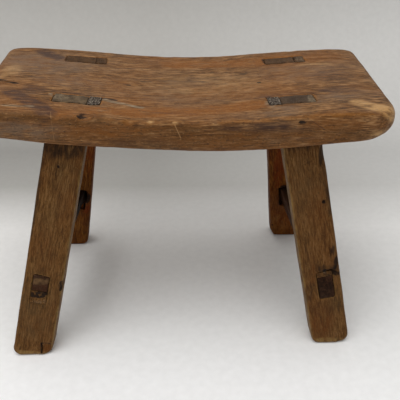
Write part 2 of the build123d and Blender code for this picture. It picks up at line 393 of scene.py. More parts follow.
def make_worn_surface_tree():
    """The rule for a hewn, rubbed and rippled wooden surface."""
    tree = bpy.data.node_groups.new("hand_worn_surface", "GeometryNodeTree")
    for name, kind in SURFACE_INPUTS.items():
        tree.interface.new_socket(name, in_out="INPUT", socket_type=kind)
    tree.interface.new_socket("Geometry", in_out="OUTPUT", socket_type="NodeSocketGeometry")
    given = add_node(tree, "NodeGroupInput").outputs
    place = add_node(tree, "GeometryNodeInputPosition").outputs[0]
    normal = add_node(tree, "GeometryNodeInputNormal").outputs[0]
    seeded = add_node(tree, "ShaderNodeVectorMath", {0: place, 1: given["Seed Shift"]},
                      operation="ADD").outputs[0]
    blurred = add_node(tree, "GeometryNodeBlurAttribute", {
        "Value": place, "Iterations": BLUR_STEPS}, data_type="FLOAT_VECTOR").outputs[0]
    inward = add_node(tree, "ShaderNodeVectorMath", {0: blurred, 1: place},
                      operation="SUBTRACT").outputs[0]
    rubbed = rubbed_back(tree, inward, seeded, given["Edge Wear"])
    lifted = hewn_and_rippled(tree, normal, seeded, given)
    offset = add_node(tree, "ShaderNodeVectorMath", {0: rubbed, 1: lifted},
                      operation="ADD").outputs[0]
    outward = add_node(tree, "ShaderNodeVectorMath", {0: inward, 1: normal},
                       operation="DOT_PRODUCT").outputs["Value"]
    edge = add_node(tree, "ShaderNodeMath", {0: outward, 1: -1 / EDGE_SHARPNESS},
                    operation="MULTIPLY").outputs[0]
    marked = add_node(tree, "GeometryNodeStoreNamedAttribute",
                      {"Geometry": given["Geometry"], "Name": "edge", "Value": edge},
                      data_type="FLOAT", domain="POINT").outputs[0]
    moved = add_node(tree, "GeometryNodeSetPosition", {"Geometry": marked, "Offset": offset})
    smooth = add_node(tree, "GeometryNodeSetShadeSmooth", {0: moved.outputs[0]})
    real = add_node(tree, "GeometryNodeRealizeInstances", {0: smooth.outputs[0]})
    finished = add_node(tree, "GeometryNodeSetMaterial", {
        "Geometry": real.outputs[0], "Material": given["Finish"]})
    add_node(tree, "NodeGroupOutput", {0: finished.outputs[0]})
    return tree


worn_surface = make_worn_surface_tree()
print("the tree has", len(worn_surface.nodes), "nodes")

# %% [markdown]
# ## Marks of use
#
# Each piece has its own scars: a bite out of the seat's front edge, old polish on one corner
# with a painted highlight on it, soot-dark ends of the tenons, a split foot. Some blots are
# painted shade, where the seat shades the legs and the left stretcher. A noise could only
# scatter such things, so they are kept here as a table of soft blots, each with its kind, its
# middle, its reach and its strength, all in the stool's own millimetres. The finish reads every
# kind as a named attribute and breaks it up with noise, so that no blot shows as a neat oval.

# %% List the blots
MARK_KINDS = ("dark", "soot_and_shade", "bare", "warm", "grey", "oil", "ash", "crumb")
BLOTS = {
    "seat_plank": [
        # stains on the top, along the front face and under the plank
        ("dark", (-150, -34, 286), (14, 14, 12), 0.7),
        ("dark", (160, 2, 285), (20, 20, 12), 0.6),
        ("dark", (158, -34, 285), (24, 10, 12), 0.8),
        ("dark", (96, -36, 281), (30, 6, 10), 0.4),
        ("dark", (-24, 6, 277), (40, 4, 10), 0.4),
        ("dark", (-70, 10, 279), (30, 4, 10), 0.5),
        ("dark", (70, -92, 272), (50, 4, 5), 0.7),
        ("dark", (-60, -92, 256), (60, 4, 6), 0.4),
        ("dark", (160, -80, 262), (26, 10, 4), 0.6),
        ("dark", (0, 0, 246), (220, 100, 6), 0.8),
        # the bite in the front edge, the knot, dirt beside a rear tenon and a small speck
        ("soot_and_shade", (-92, -88, 282), (7, 3, 2.6), 2.4),
        ("soot_and_shade", (-95, -84, 282), (11, 3, 5), 0.7),
        ("soot_and_shade", (110, -92, 277), (3.6, 4, 2), 1.4),
        ("soot_and_shade", (94, 62, 283), (4, 9, 8), 0.7),
        ("soot_and_shade", (80, -1, 281), (2.5, 2, 4), 1.0),
        # redder wood towards the edges
        ("warm", (-76, -72, 281), (24, 9, 8), 1.2),
        ("warm", (-110, -84, 282), (30, 8, 10), 1.0),
        ("warm", (-196, 30, 286), (10, 24, 14), 0.8),
        ("warm", (120, 60, 285), (70, 20, 10), 0.6),
        ("warm", (-60, -92, 268), (60, 4, 10), 0.7),
        ("warm", (60, -92, 258), (120, 4, 12), 0.5),
        ("warm", (150, -86, 274), (50, 8, 8), 0.7),
        # wood that has gone grey
        ("grey", (-118, -8, 283), (50, 16, 10), 0.7),
        ("grey", (-150, 40, 286), (56, 34, 10), 1.2),
        ("grey", (120, 20, 284), (60, 30, 10), 0.5),
        ("grey", (90, -80, 282), (20, 8, 8), 0.7),
        ("grey", (150, -52, 284), (24, 9, 8), 0.8),
        ("grey", (-160, -92, 268), (46, 4, 10), 1.0),
        ("grey", (30, -10, 277), (70, 30, 10), 0.35),
        ("grey", (-30, -24, 277), (60, 20, 10), 0.4),
        ("grey", (150, 20, 285), (40, 20, 10), 0.5),
        ("grey", (97, -70, 282), (16, 5, 8), 1.0),
        ("grey", (138, -56, 285), (14, 10, 8), 0.8),
        # corners and edges rubbed bare; at the front right corner the pale colour is also a painted
        # highlight
        ("bare", (-184, 14, 286), (13, 20, 8), 0.5),
        ("bare", (199, -72, 276), (7, 12, 11), 0.9),
        ("bare", (186, -86, 264), (14, 6, 5), 0.8),
        ("bare", (150, 40, 286), (30, 3, 6), 0.5),
        ("bare", (20, 0, 277), (80, 34, 12), 0.32),
        ("bare", (-51, -91, 278), (3, 2, 2), 1.2),
        ("bare", (-32, -90, 278), (4, 2, 2), 1.2),
        ("bare", (-9, -90.5, 276), (3, 2, 2), 1.2),
        # old oil on the front face
        ("oil", (-10, -92, 262), (130, 5, 13), 1.0),
        ("oil", (-150, -92, 266), (60, 5, 14), 0.5),
        ("oil", (130, -90, 262), (70, 6, 12), 0.7),
        ("oil", (-96, -92, 279), (24, 5, 6), 1.2),
        ("oil", (-140, -91, 283), (66, 5, 5), 1.1),
        # dry fibres beside the front right tenon
        ("ash", (84, -57, 282), (5, 8, 8), 1.0),
    ],
    "front_left_leg": [
        # the tenon's end, painted shade on the shoulder under the seat, a small hole, the low joint
        # and the foot
        ("ash", (-122, -49, 283), (9, 7, 6), 0.55),
        ("dark", (-103, -54, 278), (5, 12, 8), 1.2),
        # painted shade: the leg darkened just under the seat
        ("dark", (-118, -70, 242), (26, 14, 12), 1.1),
        ("soot_and_shade", (-126, -79, 222), (1.6, 3, 1.8), 1.2),
        ("dark", (-160, -110, 68), (11, 5, 2), 0.7),
        ("warm", (-150, -98, 140), (14, 10, 44), 0.5),
        ("warm", (-157, -121, 10), (5, 5, 6), 1.3),
        ("bare", (-172, -118, 2), (26, 12, 3), 0.9),
        ("grey", (-118, -76, 205), (18, 9, 30), 0.5),
        ("grey", (-165, -112, 48), (28, 12, 36), 0.55),
    ],
    "front_right_leg": [
        # the tenon's end, painted shade on the shoulder under the seat, a torn edge, a deep hole,
        # the low joint and the foot
        ("dark", (108, -52, 279), (14, 12, 8), 1.4),
        ("ash", (127, -54, 280), (7, 12, 8), 0.7),
        # painted shade: the leg darkened just under the seat
        ("dark", (116, -66, 246), (24, 12, 9), 1.1),
        ("dark", (139, -74, 236), (3.4, 6, 17), 1.6),
        ("soot_and_shade", (145.5, -82.6, 181.2), (1.8, 4, 2), 1.8),
        ("dark", (161, -93, 124), (2.5, 4, 9), 1.2),
        ("dark", (140, -101, 69), (5, 6, 14), 0.8),
        ("dark", (160, -106, 50), (20, 6, 14), 0.4),
        ("warm", (142, -98, 95), (5, 5, 14), 0.8),
        ("dark", (158, -97, 101), (14, 6, 6), 1.0),
        ("soot_and_shade", (166, -95, 108), (3, 5, 10), 0.9),
        ("warm", (155, -108, 30), (16, 9, 26), 1.0),
        ("warm", (136, -84, 175), (10, 9, 30), 0.5),
        ("bare", (168, -110, 5), (18, 8, 4), 0.8),
        ("grey", (120, -76, 205), (16, 9, 26), 0.5),
    ],
    "rear_left_leg": [
        # painted shade under the seat and round the low joint
        # painted shade: darker under the seat, and black over the low joint
        ("dark", (-125, 74, 235), (24, 18, 14), 1.0),
        ("soot_and_shade", (-132, 70, 89), (7, 9, 10), 1.8),
        ("warm", (-132, 68, 68), (8, 9, 9), 1.3),
        ("warm", (-122, 58, 165), (12, 14, 60), 0.6),
    ],
    "rear_right_leg": [
        # painted shade under the seat, dirt on the tenon, a red streak, and pinholes above the foot
        # painted shade: the leg darkened just under the seat
        ("dark", (122, 62, 238), (22, 18, 14), 1.0),
        ("dark", (98, 61, 281), (4, 10, 8), 1.3),
        ("grey", (105, 58, 282), (6, 10, 8), 1.0),
        ("warm", (128, 75, 135), (8, 12, 40), 1.4),
        ("bare", (136, 92, 22), (22, 14, 22), 0.4),
        ("soot_and_shade", (139, 81, 97), (6, 8, 2.5), 1.4),
        ("soot_and_shade", (130, 95, 22), (1.6, 4, 1.6), 1.0),
        ("soot_and_shade", (142, 98, 30), (1.4, 4, 1.4), 1.0),
    ],
    # the wedges of the seat: crumbly in front, stained behind
    "front_left_leg_wedge": [
        ("crumb", (-92, -54, 280), (14, 14, 10), 1.5),
    ],
    "front_right_leg_wedge": [
        ("crumb", (88, -54, 280), (14, 14, 10), 1.5),
    ],
    "rear_right_leg_wedge": [
        ("dark", (127, 58, 284), (4, 14, 10), 1.5),
        ("ash", (134, 58, 284), (5, 14, 10), 0.4),
    ],
    "rear_left_leg_wedge": [
        ("dark", (-90, 66, 280), (14, 14, 10), 0.8),
        ("soot_and_shade", (-98, 64, 282), (4, 5, 6), 1.2),
    ],
    # the low joints: soot, dry fibres and rubbed ends, and painted shade on the left stretcher's
    # rear end
    "front_left_stretcher_wedge": [
        ("soot_and_shade", (-158, -108, 79), (14, 14, 4), 1.1),
        ("ash", (-157, -110, 70), (14, 14, 3), 0.32),
    ],
    "front_right_stretcher_wedge": [
        ("dark", (155, -98, 97), (14, 12, 8), 0.9),
        ("ash", (153, -98, 98), (6, 12, 3), 0.4),
    ],
    "left_stretcher": [
        ("bare", (-157, -106, 95), (14, 14, 4), 0.7),
        ("warm", (-157, -106, 86), (14, 14, 5), 0.8),
        # painted shade: the left stretcher's rear end, painted near black where it lies in shade
        ("soot_and_shade", (-134, 64, 90), (14, 40, 22), 2.0),
    ],
    "right_stretcher": [
        ("warm", (138, 60, 80), (9, 60, 12), 0.8),
        ("dark", (156, -99, 78), (14, 14, 16), 0.8),
    ],
}
print(sum(len(blots) for blots in BLOTS.values()), "blots on", len(BLOTS), "pieces")

# %% [markdown]
# ## Streaks
#
# Stains, rubbed edges and frayed fibres often run in a line: along the grain, down the arris
# of a leg, or round a low joint. A row of blots would look like beads, so a streak has two
# ends, and keeps the same reach all the way between them.

# %% List the streaks
STREAKS = {
    "seat_plank": [
        # frayed fibres at both ends of the front left tenon
        ("ash", (-79, -47, 281), (-42, -60.5, 278), (3, 2.0, 6), 1.3),
        ("soot_and_shade", (-79, -44, 281), (-68, -46, 280), (3, 1.3, 6), 1.1),
        ("ash", (-132, -43, 285), (-127, -50, 284), (1.6, 1.8, 6), 1.3),
        # broad stains, the split in the left end, and the polished front right corner, painted pale
        # as a highlight as well as wear
        ("dark", (-168, -44, 286), (-128, -84, 284), (9, 8, 10), 1.2),
        ("dark", (-162, 77, 286), (-142, 57, 285), (9, 8, 10), 1.1),
        ("soot_and_shade", (-207, -2, 286), (-170, -21, 286), (4, 1.2, 6), 0.9),
        ("ash", (-190, -75, 286), (-146, -74, 285), (5, 2.5, 8), 0.6),
        ("bare", (168, -67, 286), (181, -77, 286), (10, 7, 8), 0.85),
        ("bare", (183, -79, 286), (196, -80, 281), (10, 8, 8), 1.1),
        # red wood along the front and the back, dark lines of growth, and a dark rear edge
        ("warm", (-54, -74, 280), (66, -58, 280), (20, 10, 8), 1.5),
        ("warm", (-6, 62, 278), (96, 60, 282), (20, 13, 8), 1.2),
        ("dark", (-50, 13, 278), (20, 10, 277), (4, 1.6, 6), 0.8),
        ("dark", (-134, -36, 284), (-82, -38, 280), (3, 2.0, 6), 0.7),
        ("dark", (72, -40, 280), (132, -38, 284), (3, 2.0, 6), 0.7),
        ("dark", (-40, -70, 277), (10, -72, 276), (3, 2.0, 4), 0.6),
        ("dark", (-200, 92, 283), (200, 92, 283), (10, 3, 16), 0.6),
        ("dark", (204, 84, 286), (206, -30, 286), (3, 10, 8), 0.6),
        ("soot_and_shade", (-76, 1, 280), (-58, -6, 279), (4, 1.3, 6), 0.7),
        ("soot_and_shade", (-44, 6, 278), (-22, 9, 277), (4, 1.2, 6), 0.6),
    ],
    "front_left_leg": [
        # rubbed edges, a dark outer edge, the split foot
        ("bare", (-97, -74, 244), (-151, -122, 8), (1.4, 3, 4), 0.9),
        ("bare", (-95, -62, 242), (-150, -111, 3), (3.2, 16, 8), 0.6),
        ("dark", (-138, -74, 240), (-160, -94, 150), (2.0, 6, 4), 0.8),
        ("soot_and_shade", (-134, -105, 92), (-134.6, -106, 84), (1.8, 5, 2), 1.7),
        ("soot_and_shade", (-162, -120.5, 17), (-163, -124, 4), (0.9, 6, 1), 1.5),
        ("soot_and_shade", (-162, -120.5, 17), (-153, -121, 15), (1, 6, 0.8), 1.2),
        ("bare", (-188, -123, 6), (-166, -124, 3), (4, 4, 2.5), 0.9),
    ],
    "front_right_leg": [
        # rubbed edges, soot over the low joint, a dark outer edge
        ("bare", (97.4, -72.3, 244), (149.6, -111.5, 5), (1.4, 3, 4), 0.9),
        ("bare", (95.4, -60, 242), (148, -99.5, 3), (3.2, 16, 8), 0.6),
        ("soot_and_shade", (156, -97, 98.5), (169, -97, 95), (3, 5, 2.4), 1.7),
        ("dark", (140, -72, 222), (154, -84, 168), (2.0, 6, 4), 0.8),
    ],
    "rear_right_leg": [
        ("soot_and_shade", (135, 84, 92), (136, 86, 65), (1.8, 8, 3), 1.4),
        ("grey", (102, 66, 240), (124, 98, 90), (2.2, 14, 4), 0.8),
    ],
    "right_stretcher": [
        ("bare", (136, 84, 94), (149, -80, 94), (1.4, 6, 1.4), 0.6),
    ],
}
print(sum(len(streaks) for streaks in STREAKS.values()), "streaks on", len(STREAKS), "pieces")

# %% [markdown]
# ## Dents
#
# Where the wood has lost a flake, a splinter or a corner, its outline changes too, and paint
# alone would look flat. A dent has a middle and a reach like a blot, and then says how many
# millimetres the surface moves along each axis.

# %% List the dents
DENTS = {
    "seat_plank": [
        # the bite, the knot, and chips along the edges
        ((-92, -89, 282), (6, 5, 3.5), (0, 2.4, -2.2)),
        ((-52, -91, 278), (4, 4, 3), (0, 1.1, -0.7)),
        ((110, -92, 277), (3, 3, 2.2), (0, 1.6, 0)),
        ((-118, -91, 284), (6, 4, 3), (0, 1.0, -0.8)),
        ((64, -91, 281), (7, 4, 3), (0, 0.8, -0.8)),
        ((204, -40, 276), (6, 9, 6), (-1.2, 0, 0)),
        ((120, -90, 284), (6, 4, 3), (0, 0.8, -0.7)),
        ((-20, 91, 277), (8, 4, 3), (0, -1.1, -0.7)),
        ((128, 91, 285), (6, 4, 3), (0, -1.0, -0.7)),
    ],
    "front_left_leg": [
        # the small hole, the rim of the low joint, the split foot
        ((-126, -79, 222), (1.8, 4, 1.8), (0, 1.2, 0)),
        ((-133, -105, 88), (3, 4, 6), (-1.6, 1.4, 0)),
        ((-156, -122, 9), (6, 5, 8), (0, 1.6, 1.2)),
        ((-196, -112, 20), (4, 6, 9), (1.1, 0, 0)),
        ((-92, -54, 280), (3, 6, 3), (0, 0, -0.9)),
    ],
    "front_right_leg": [
        # the torn edge, the deep hole, the rim of the low joint, the foot's corner
        ((140, -75, 236), (4, 6, 15), (-1.4, 1.6, 0)),
        ((145.5, -82.6, 181.2), (1.6, 3, 1.6), (0, 2.2, 0)),
        ((161, -93, 122), (2, 4, 7), (0, 0.9, 0)),
        ((163, -97, 97), (6, 4, 3), (0, 2.2, 0)),
        ((185, -110, 8), (7, 7, 8), (-1.6, 0.8, 1.4)),
    ],
    "rear_right_leg": [
        ((128, 100, 6), (6, 8, 7), (1.2, -0.6, 1.2)),
    ],
    "rear_left_leg": [
        ((-140, 96, 40), (4, 6, 8), (0.9, -0.7, 0)),
    ],
    # the rear tenons bulge inwards, where light would pass them in their loose mortises
    "left_stretcher": [
        ((-134, 78, 82), (4, 9, 9), (3.2, 0, 0)),
    ],
    "right_stretcher": [
        ((137, 97, 78), (3, 7, 15), (-3.6, 0, 0)),
    ],
}
print(sum(len(dents) for dents in DENTS.values()), "dents on", len(DENTS), "pieces")

# %% [markdown]
# ## Cracks
#
# Old planks open along the grain. A crack is a thin wavering blade, cut out of the wood with a
# Boolean: wide and deep in its middle and closing to nothing at its ends. The blade is drawn
# as a short chain of slim triangles that point into the wood. Each crack below has its start,
# its end, the way that its face of the wood looks, its width and its depth.

# %% List the cracks
CRACKS = {
    "seat_plank": [
        # splits that start at the plank's ends, then fine checks in its faces
        ((-208, -4, 285), (-158, -26, 286), (0, 0, 1), 1.1, 5),
        ((-204, -66, 285), (-148, -78, 285), (0, 0, 1), 0.7, 2.5),
        ((148, 59, 285), (198, 53, 286), (0, 0, 1), 0.9, 5),
        ((-66, 0, 279), (2, 4, 277), (0, 0, 1), 0.5, 1.5),
        ((-34, -92, 262), (60, -92, 265), (0, -1, 0), 0.5, 1.6),
        ((-207, -20, 268), (-207, 48, 272), (-1, 0, 0), 0.6, 2.5),
        ((207, 0, 270), (207, 60, 273), (1, 0, 0), 0.7, 3),
        ((40, 91, 262), (150, 91, 268), (0, 1, 0), 0.6, 2),
    ],
    "front_left_leg": [
        ((-163.5, -124, -3), (-160.5, -118, 24), (0, -1, 0), 1.2, 4),
    ],
    "front_right_leg": [
        ((157.5, -91, 132), (160, -94, 112), (0, -1, 0), 0.8, 2),
    ],
}
print(sum(len(cracks) for cracks in CRACKS.values()), "cracks in", len(CRACKS), "pieces")

# %% Make crack blades
CRACK_STEPS = 14
CRACK_RISE = 2.5 * MM
CRACK_WANDER = 0.9
CRACK_TIP = 0.02
WIDTH_SWING = (0.6, 1.2)
LEAST_DEPTH = 0.3


def crack_blade(mesh, start, end, face, width, depth, chance):
    """Adds one closed blade to a mesh, from a start to an end on the face of the wood."""
    start, end, face = Vector(start) * MM, Vector(end) * MM, Vector(face)
    across = (end - start).normalized().cross(face)
    rows = []
    for step in range(CRACK_STEPS + 1):
        share = step / CRACK_STEPS
        # a parabola: next to nothing at both ends, and full width in the middle
        open_here = 4 * share * (1 - share) + CRACK_TIP
        wander = chance.uniform(-CRACK_WANDER, CRACK_WANDER) * MM * open_here
        middle = start.lerp(end, share) + across * wander
        half = width * MM / 2 * open_here * chance.uniform(*WIDTH_SWING)
        # the blade stands proud of the wood, so its back is wider than the crack
        half *= 1 + CRACK_RISE / (depth * MM)
        reach = depth * MM * (LEAST_DEPTH + (1 - LEAST_DEPTH) * open_here)
        corners = (middle + face * CRACK_RISE + across * half,
                   middle + face * CRACK_RISE - across * half,
                   middle - face * reach)
        rows.append([mesh.verts.new(corner) for corner in corners])
    for before, after in zip(rows, rows[1:]):
        for side in range(3):
            following = (side + 1) % 3
            mesh.faces.new((before[side], before[following], after[following], after[side]))
    mesh.faces.new(rows[0][::-1])
    mesh.faces.new(rows[-1])


def make_crack_cutter(node, seed):
    """One object that holds every blade of a piece, or nothing if it has no cracks."""
    chance = np.random.default_rng(seed)
    mesh = bmesh.new()
    for start, end, face, width, depth in CRACKS.get(node, []):
        crack_blade(mesh, start, end, face, width, depth, chance)
    if not mesh.faces:
        return None
    bmesh.ops.recalc_face_normals(mesh, faces=mesh.faces)
    data = bpy.data.meshes.new(node + "_crack_blades")
    mesh.to_mesh(data)
    mesh.free()
    cutter = bpy.data.objects.new(node + "_crack_blades", data)
    bpy.context.scene.collection.objects.link(cutter)
    return cutter


# %% [markdown]
# ## From solid to worn piece
#
# The triangles of a solid are long and thin, which no surface rule can work on. So each piece
# is a copy of its solid, merged and drawn again in small even squares by a voxel remesh, fine
# enough to hold its scars. The hand-worn tree then shapes it, and the result is kept as a
# plain mesh. Three helpers do the parts that Blender has no single call for.

# %% Copy, set and freeze
MERGE_GAP = 0.01 * MM


def set_input(modifier, name, value):
    """Sets an input of a Geometry Nodes modifier by its socket's identifier."""
    for item in modifier.node_group.interface.items_tree:
        if item.item_type == "SOCKET" and item.in_out == "INPUT" and item.name == name:
            modifier[item.identifier] = value


def merged_copy(node, name):
    """A new object with a solid's triangles, sewn together along their edges."""
    data = bpy.data.meshes.new(name)
    mesh = bmesh.new()
    mesh.from_mesh(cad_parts[node].data)
    bmesh.ops.remove_doubles(mesh, verts=mesh.verts, dist=MERGE_GAP)
    mesh.to_mesh(data)
    mesh.free()
    piece = bpy.data.objects.new(name, data)
    bpy.context.scene.collection.objects.link(piece)
    return piece


def freeze(piece):
    """Keeps what the modifiers make of a piece as its own plain mesh."""
    seen = piece.evaluated_get(bpy.context.evaluated_depsgraph_get())
    result = bpy.data.meshes.new_from_object(seen)
    piece.modifiers.clear()
    piece.data = result


# %% [markdown]
# ## Pressing and painting
#
# A brush would be the usual way to mark a mesh, but a script has no hand. It works out, for
# every corner of the mesh, how far it lies from the middle of a mark, and turns that into a
# soft value. The same value pushes the surface in for a dent and goes into an attribute for a
# blot or a streak.

# %% Press dents and paint marks
FADE_END = 1.5
NO_RUN = 0.001


def falloff(points, start, end, reach):
    """One in the middle of a mark, half at its reach and zero at one and a half times that."""
    reach = np.array(reach) * MM
    first = np.array(start) * MM / reach
    run = np.array(end) * MM / reach - first
    offsets = points / reach - first
    share = np.clip(offsets @ run / max(run @ run, NO_RUN), 0, 1)
    distance = np.linalg.norm(offsets - share[:, None] * run, axis=1)
    near = np.clip(FADE_END - distance, 0, 1)
    # the smooth step: level at both ends
    return near * near * (3 - 2 * near)


def places_in(piece):
    """Where the corners of a piece are, one row each."""
    points = np.empty((len(piece.data.vertices), 3))
    piece.data.vertices.foreach_get("co", points.ravel())
    return points


def press_dents(piece, dents):
    """Moves the surface where the wood has lost a flake or a corner, or bulges."""
    points = places_in(piece)
    for middle, reach, push in dents:
        points += falloff(points, middle, middle, reach)[:, None] * np.array(push) * MM
    piece.data.vertices.foreach_set("co", points.ravel())


def paint_marks(piece, node):
    """Writes the blots and streaks of each kind as a named attribute."""
    points = places_in(piece)
    blots = [(kind, middle, middle, reach, strength)
             for kind, middle, reach, strength in BLOTS.get(node, [])]
    for kind in MARK_KINDS:
        values = np.zeros(len(points))
        for mark, start, end, reach, strength in blots + STREAKS.get(node, []):
            if mark == kind:
                values = np.maximum(values, falloff(points, start, end, reach) * strength)
        layer = piece.data.attributes.new(kind, "FLOAT", "POINT")
        layer.data.foreach_set("value", values)


# %% [markdown]
# ## One piece, step by step
#
# Now the steps come together in the order in which wood ages: it is hewn and worn first, then
# it loses its chips, then it cracks, and stains gather last. Each piece has its own number,
# which shifts its noises, so that no two legs are worn alike.

# %% Make one worn piece
SEED_STRIDE = 0.37


def worn_piece(node, direction, seed, plan, finish):
    """A solid as the worn wooden piece that it is on the real stool."""
    piece = merged_copy(node, "worn_" + node)
    squares = piece.modifiers.new("even squares", "REMESH")
    squares.mode = "VOXEL"
    squares.voxel_size = plan["voxel"] * MM
    surface = piece.modifiers.new("hand-worn surface", "NODES")
    surface.node_group = worn_surface
    set_input(surface, "Grain", direction)
    set_input(surface, "Seed Shift", (seed * SEED_STRIDE, 0, 0))
    set_input(surface, "Wave Height", plan["wave"] * MM)
    set_input(surface, "Ripple Height", plan["ripple"] * MM)
    set_input(surface, "Edge Wear", plan["wear"])
    set_input(surface, "Finish", finish)
    freeze(piece)
    press_dents(piece, DENTS.get(node, []))
    cutter = make_crack_cutter(node, seed)
    if cutter:
        cut = piece.modifiers.new("cracks", "BOOLEAN")
        cut.operation = "DIFFERENCE"
        cut.object = cutter
        freeze(piece)
        bpy.data.objects.remove(cutter)
    paint_marks(piece, node)
    print(piece.name, "has", len(piece.data.polygons), "faces")
    return piece


# %% [markdown]
# ## Grime in the joints
#
# Dirt and old wax gather where two pieces meet, and draw a dark line round every tenon. The
# rule is simple: the nearer a point lies to another piece, the darker it gets. A search tree
# of all the other solids' triangles answers that quickly. The value falls evenly over a few
# millimetres, so that the finish can pick a line much thinner than the squares of the mesh.

# %% Measure how near the neighbours are
GRIME_REACH = 4 * MM


def neighbour_tree(node):
    """A search tree of every solid's triangles except this one's."""
    points, triangles = [], []
    for name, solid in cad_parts.items():
        if name != node:
            first = len(points)
            points += [corner.co for corner in solid.data.vertices]
            triangles += [[first + index for index in face.vertices]
                          for face in solid.data.polygons]
    return BVHTree.FromPolygons(points, triangles)


def paint_joints(piece, node):
    """Writes how close each point is to another piece: one at the joint, zero away from it."""
    tree = neighbour_tree(node)
    values = []
    for corner in piece.data.vertices:
        distance = tree.find_nearest(corner.co, GRIME_REACH)[3]
        values.append(0 if distance is None else 1 - distance / GRIME_REACH)
    layer = piece.data.attributes.new("joint", "FLOAT", "POINT")
    layer.data.foreach_set("value", values)


# %% [markdown]
# ## Patterns in old hardwood
#
# The wood is an open-grained hardwood, and everything that the eye sees in it runs along the
# grain: fibres, streaks of growth, short dark pores like dashes, and slow patches. Each of
# these is one noise, drawn out along the grain, at the size across the grain that it has on
# the real wood. The finest ones are drawn a little coarser than life, or a small picture would
# lose them. A table and one loop make them all, each spread to run from zero to one. The
# sizes in the table are millimetres in coarse wood, and every kind of piece draws them finer
# by its own share.

# %% Make the patterns
FINENESS = {"seat": 0.7, "front_leg": 0.55, "rear_leg": 0.55, "stretcher": 0.55}
PATTERNS = {
    "fibres": {"across": 1.7, "squeeze": 0.1, "detail": 4, "low": 0.38, "high": 0.62},
    "streaks": {"across": 3.4, "squeeze": 0.06, "detail": 5, "low": 0.37, "high": 0.63},
    "mottle": {"across": 12, "squeeze": 0.4, "detail": 5, "low": 0.34, "high": 0.66},
    "patches": {"across": 60, "squeeze": 0.45, "detail": 3, "low": 0.40, "high": 0.62},
    "faded": {"across": 44, "squeeze": 0.4, "detail": 4, "low": 0.46, "high": 0.66},
    "blotches": {"across": 7, "squeeze": 0.35, "detail": 4, "low": 0.35, "high": 0.65},
    "pores": {"across": 1.3, "squeeze": 0.3, "detail": 1, "low": 0.60, "high": 0.70},
    "flecks": {"across": 1.5, "squeeze": 0.35, "detail": 1, "low": 0.62, "high": 0.74},
    "crumbs": {"across": 1.7, "squeeze": 0.9, "detail": 3, "low": 0.36, "high": 0.64},
}


def wood_patterns(tree, place, direction, fineness):
    """Every pattern of the wood as a value that runs from zero to one."""
    values = {}
    for name, pattern in PATTERNS.items():
        drawn = squeezed_along(tree, place, direction, pattern["squeeze"])
        noise = add_node(tree, "ShaderNodeTexNoise", {
            "Vector": drawn, "Scale": 1 / (pattern["across"] * fineness * MM),
            "Detail": pattern["detail"]})
        values[name] = add_node(tree, "ShaderNodeMapRange", {
            "Value": noise.outputs[0], "From Min": pattern["low"],
            "From Max": pattern["high"]}).outputs[0]
    return values


print("the seat's fibres are", round(PATTERNS["fibres"]["across"] * FINENESS["seat"], 2), "mm wide")

# %% [markdown]
# ## Masks of wear
#
# The mesh carries what was painted on it: the marks, how sharp each spot is and how near the
# next piece lies. None of these may show as a clean shape, so each is multiplied by the
# blotches and then cut to its own stretch, which leaves a ragged patch that keeps to the grain.
# Each mask below has the attribute that it reads, and the values at which it starts and ends.

# %% Break up what was painted
RAGGED_LOW = 0.3
RAGGED_HIGH = 1.25
MASKS = {
    "dark": ("dark", 0.12, 1.0), "soot_and_shade": ("soot_and_shade", 0.3, 0.7), "bare": ("bare", 0.12, 1.0),
    "warm": ("warm", 0.12, 1.0), "grey": ("grey", 0.12, 1.0), "oil": ("oil", 0.05, 0.8),
    "ash": ("ash", 0.15, 0.7), "crumb": ("crumb", 0.15, 0.55), "rubbed": ("edge", 0.5, 1.8),
    "hollow": ("edge", -0.3, -1.4), "grime": ("joint", 0.76, 0.97),
}


def wear_masks(tree, blotches):
    """Every mask of wear, with its rim broken up."""
    ragged = add_node(tree, "ShaderNodeMapRange", {
        "Value": blotches, "To Min": RAGGED_LOW, "To Max": RAGGED_HIGH}).outputs[0]
    values = {}
    for name, (attribute, low, high) in MASKS.items():
        painted = add_node(tree, "ShaderNodeAttribute", attribute_name=attribute)
        broken = add_node(tree, "ShaderNodeMath", {0: painted.outputs["Fac"], 1: ragged},
                          operation="MULTIPLY")
        values[name] = add_node(tree, "ShaderNodeMapRange", {
            "Value": broken.outputs[0], "From Min": low, "From Max": high}).outputs[0]
    return values


print(len(MASKS), "masks of wear")

# %% [markdown]
# ## Scratches
#
# A scratch is far thinner than the squares of the mesh, so it can't be painted on it. Its
# mask is worked out in the finish instead: how far a point lies from a line between two
# places, measured along the face only. The three numbers before the width pick that face: the
# two directions that count are one and the third is zero.

# %% Draw the scratches
SCRATCHES = {
    "seat_plank": [
        ((-9.5, -91, 274.5), (-4, -91, 261), (1, 0, 1), 0.7, "pale"),
        ((-124, -85, 284), (-123, -92, 282), (1, 1, 0), 0.6, "pale"),
        ((118, -91, 279), (132, -91, 270), (1, 0, 1), 0.5, "stain"),
        ((-64, -12, 279), (-40, -26, 278), (1, 1, 0), 0.45, "pale"),
        ((10, 20, 277), (52, 12, 278), (1, 1, 0), 0.4, "stain"),
        ((96, -76, 281), (150, -66, 284), (1, 1, 0), 0.45, "pale"),
        ((-20, -54, 277), (30, -40, 277), (1, 1, 0), 0.4, "stain"),
        ((148, 20, 285), (176, 6, 286), (1, 1, 0), 0.5, "pale"),
        ((-150, 20, 285), (-120, 34, 284), (1, 1, 0), 0.45, "stain"),
    ],
    "front_left_leg": [
        ((-128, -84, 200), (-122, -80, 214), (1, 0, 1), 0.5, "pale"),
        ((-150, -100, 130), (-143, -96, 144), (1, 0, 1), 0.45, "stain"),
    ],
    "front_right_leg": [
        ((122, -80, 205), (130, -84, 188), (1, 0, 1), 0.5, "pale"),
        ((140, -96, 150), (146, -98, 136), (1, 0, 1), 0.45, "stain"),
    ],
}


